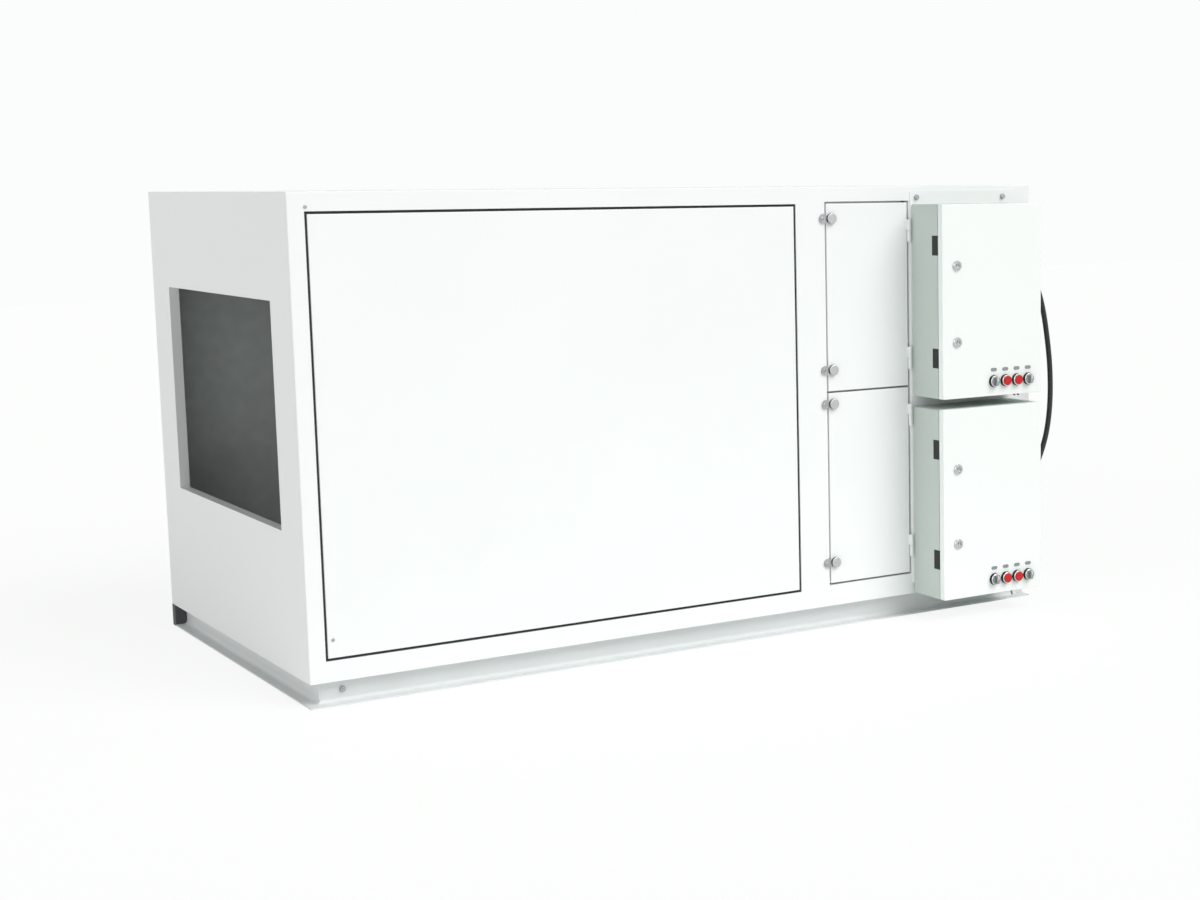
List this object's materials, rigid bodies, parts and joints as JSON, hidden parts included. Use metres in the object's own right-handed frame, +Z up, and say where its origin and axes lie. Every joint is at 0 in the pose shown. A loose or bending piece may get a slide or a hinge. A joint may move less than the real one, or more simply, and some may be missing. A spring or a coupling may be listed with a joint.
{
  "type": "kitchen exhaust unit",
  "caption": "White sheet-steel kitchen exhaust cabinet on a recessed base, with end duct openings, service panel, access doors and cabled control boxes with buttons and switches.",
  "frame": {"origin": "on the floor, under the middle of the front base rail's foot", "axes": "+X along the unit from the inlet end to the outlet end, +Y from the front to the rear, +Z up"},
  "size_m": [1.6953, 1.033, 0.937],
  "materials": {
    "cabinet_paint": "satin",
    "box_paint": "fine textured satin",
    "gasket_rubber": "matte",
    "bare_steel": "zinc plated",
    "chrome_plate": "bright",
    "switch_metal": "satin",
    "red_plastic": "gloss",
    "black_plastic": "matte",
    "cable_rubber": "matte"
  },
  "bodies": {
    "cabinet": {"front_base_rail": "cabinet_paint", "side_base_rails": "cabinet_paint", "rear_base_rail": "cabinet_paint", "floor_panel": "cabinet_paint", "roof_panel": "cabinet_paint", "rear_wall": "cabinet_paint", "left_end_wall": "cabinet_paint", "right_end_wall": "cabinet_paint", "front_rails": "cabinet_paint", "front_posts": "cabinet_paint", "front_right_panel": "cabinet_paint", "service_panel": "cabinet_paint", "service_panel_gasket": "gasket_rubber", "door_stop_bars": "bare_steel", "access_door_hinges": "cabinet_paint", "latch_keepers": "bare_steel", "box_mounting_plate": "cabinet_paint", "box_side_plugs": "black_plastic", "box_hinges": "black_plastic", "lower_box_body": "box_paint", "upper_box_body": "box_paint", "cable_elbows": "black_plastic", "link_cable": "cable_rubber"},
    "lower_access_door": {"lower_access_door": "cabinet_paint"},
    "lower_door_bottom_latch": {"lower_door_bottom_latch": "bare_steel"},
    "lower_door_top_latch": {"lower_door_top_latch": "bare_steel"},
    "upper_access_door": {"upper_access_door": "cabinet_paint"},
    "upper_door_bottom_latch": {"upper_door_bottom_latch": "bare_steel"},
    "upper_door_top_latch": {"upper_door_top_latch": "bare_steel"},
    "lower_box_door": {"lower_box_door": "box_paint", "lower_lock_housings": "chrome_plate", "lower_control_bezels": "black_plastic"},
    "lower_box_bottom_lock": {"lower_box_bottom_lock": "chrome_plate"},
    "lower_box_top_lock": {"lower_box_top_lock": "chrome_plate"},
    "lower_left_switch": {"lower_left_switch": "switch_metal"},
    "lower_left_button": {"lower_left_button": "red_plastic"},
    "lower_right_button": {"lower_right_button": "red_plastic"},
    "lower_right_switch": {"lower_right_switch": "switch_metal"},
    "upper_box_door": {"upper_box_door": "box_paint", "upper_lock_housings": "chrome_plate", "upper_control_bezels": "black_plastic"},
    "upper_box_bottom_lock": {"upper_box_bottom_lock": "chrome_plate"},
    "upper_box_top_lock": {"upper_box_top_lock": "chrome_plate"},
    "upper_left_switch": {"upper_left_switch": "switch_metal"},
    "upper_left_button": {"upper_left_button": "red_plastic"},
    "upper_right_button": {"upper_right_button": "red_plastic"},
    "upper_right_switch": {"upper_right_switch": "switch_metal"}
  },
  "joints": [
    {"name": "lower_access_door_hinge", "type": "hinge", "parent": "cabinet", "child": "lower_access_door", "pos_m": [0.5015, -0.0175, 0.29975], "axis": [0, 0, 1], "range_deg": [0, 90]},
    {"name": "lower_door_bottom_latch_turn", "type": "hinge", "parent": "lower_access_door", "child": "lower_door_bottom_latch", "pos_m": [0.304, -0.0135, 0.1405], "axis": [0, 1, 0], "range_deg": [0, 90]},
    {"name": "lower_door_top_latch_turn", "type": "hinge", "parent": "lower_access_door", "child": "lower_door_top_latch", "pos_m": [0.304, -0.0135, 0.481], "axis": [0, 1, 0], "range_deg": [0, 90]},
    {"name": "upper_access_door_hinge", "type": "hinge", "parent": "cabinet", "child": "upper_access_door", "pos_m": [0.5015, -0.0175, 0.705], "axis": [0, 0, 1], "range_deg": [0, 90]},
    {"name": "upper_door_bottom_latch_turn", "type": "hinge", "parent": "upper_access_door", "child": "upper_door_bottom_latch", "pos_m": [0.304, -0.0135, 0.553], "axis": [0, 1, 0], "range_deg": [0, 90]},
    {"name": "upper_door_top_latch_turn", "type": "hinge", "parent": "upper_access_door", "child": "upper_door_top_latch", "pos_m": [0.304, -0.0135, 0.871], "axis": [0, 1, 0], "range_deg": [0, 90]},
    {"name": "lower_box_door_hinge", "type": "hinge", "parent": "cabinet", "child": "lower_box_door", "pos_m": [0.7805, -0.1115, 0.255], "axis": [0, 0, 1], "range_deg": [0, 120]},
    {"name": "lower_box_bottom_lock_turn", "type": "hinge", "parent": "lower_box_door", "child": "lower_box_bottom_lock", "pos_m": [0.547, -0.1285, 0.169], "axis": [0, 1, 0], "range_deg": [0, 90]},
    {"name": "lower_box_top_lock_turn", "type": "hinge", "parent": "lower_box_door", "child": "lower_box_top_lock", "pos_m": [0.547, -0.1285, 0.332], "axis": [0, 1, 0], "range_deg": [0, 90]},
    {"name": "lower_left_switch_turn", "type": "hinge", "parent": "lower_box_door", "child": "lower_left_switch", "pos_m": [0.645, -0.1285, 0.08], "axis": [0, 1, 0], "range_deg": [0, 90]},
    {"name": "lower_left_button_press", "type": "slide", "parent": "lower_box_door", "child": "lower_left_button", "axis": [0, 1, 0], "range_m": [0, 0.004], "stiffness_N_per_m": 500, "springref_m": -0.002},
    {"name": "lower_right_button_press", "type": "slide", "parent": "lower_box_door", "child": "lower_right_button", "axis": [0, 1, 0], "range_m": [0, 0.004], "stiffness_N_per_m": 500, "springref_m": -0.002},
    {"name": "lower_right_switch_turn", "type": "hinge", "parent": "lower_box_door", "child": "lower_right_switch", "pos_m": [0.7386, -0.1285, 0.08], "axis": [0, 1, 0], "range_deg": [0, 90]},
    {"name": "upper_box_door_hinge", "type": "hinge", "parent": "cabinet", "child": "upper_box_door", "pos_m": [0.7805, -0.1115, 0.6915], "axis": [0, 0, 1], "range_deg": [0, 120]},
    {"name": "upper_box_bottom_lock_turn", "type": "hinge", "parent": "upper_box_door", "child": "upper_box_bottom_lock", "pos_m": [0.547, -0.1285, 0.6055], "axis": [0, 1, 0], "range_deg": [0, 90]},
    {"name": "upper_box_top_lock_turn", "type": "hinge", "parent": "upper_box_door", "child": "upper_box_top_lock", "pos_m": [0.547, -0.1285, 0.7685], "axis": [0, 1, 0], "range_deg": [0, 90]},
    {"name": "upper_left_switch_turn", "type": "hinge", "parent": "upper_box_door", "child": "upper_left_switch", "pos_m": [0.645, -0.1285, 0.5165], "axis": [0, 1, 0], "range_deg": [0, 90]},
    {"name": "upper_left_button_press", "type": "slide", "parent": "upper_box_door", "child": "upper_left_button", "axis": [0, 1, 0], "range_m": [0, 0.004], "stiffness_N_per_m": 500, "springref_m": -0.002},
    {"name": "upper_right_button_press", "type": "slide", "parent": "upper_box_door", "child": "upper_right_button", "axis": [0, 1, 0], "range_m": [0, 0.004], "stiffness_N_per_m": 500, "springref_m": -0.002},
    {"name": "upper_right_switch_turn", "type": "hinge", "parent": "upper_box_door", "child": "upper_right_switch", "pos_m": [0.7386, -0.1285, 0.5165], "axis": [0, 1, 0], "range_deg": [0, 90]}
  ]
}
